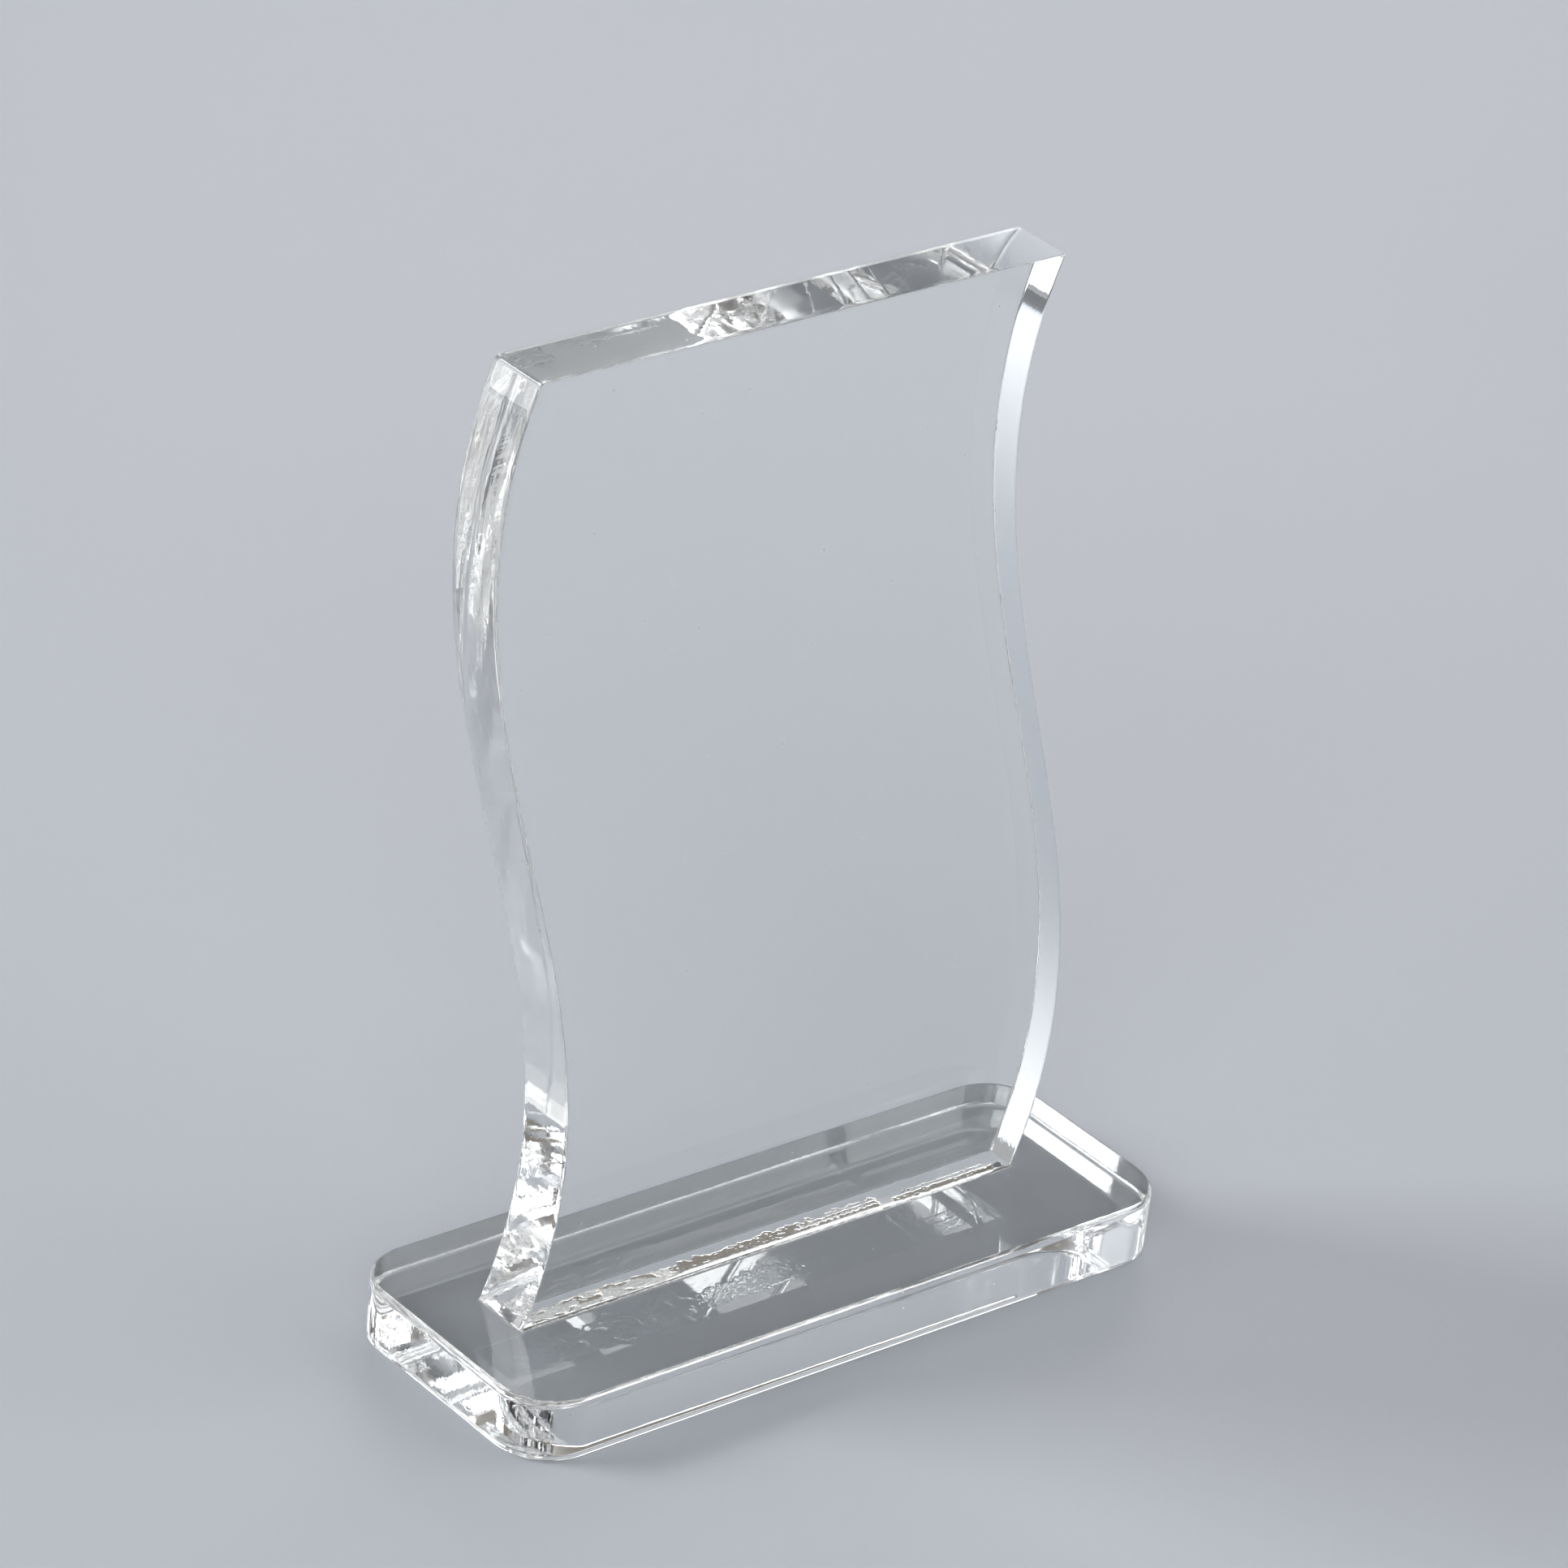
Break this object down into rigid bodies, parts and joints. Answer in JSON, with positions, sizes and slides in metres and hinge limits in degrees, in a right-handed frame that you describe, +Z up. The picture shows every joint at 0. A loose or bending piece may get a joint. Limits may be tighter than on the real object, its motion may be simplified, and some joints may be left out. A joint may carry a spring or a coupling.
{
  "type": "acrylic award",
  "caption": "Clear acrylic award: a flat plate with wavy S-shaped sides, cemented upright on a rounded rectangular base slab.",
  "frame": {"origin": "centre of the base slab's underside, which is the face that the award stands on", "axes": "+Z up, +X along the award's width, +Y through its thickness towards the back"},
  "size_m": [0.1239, 0.045, 0.1602],
  "materials": {
    "base_acrylic": "polished clear acrylic",
    "cement": "cured clear acrylic cement with bubbles",
    "upright_acrylic": "polished clear acrylic, cut side edges"
  },
  "bodies": {
    "root": {"base": "base_acrylic", "cement_film": "cement", "upright": "upright_acrylic"}
  },
  "joints": []
}
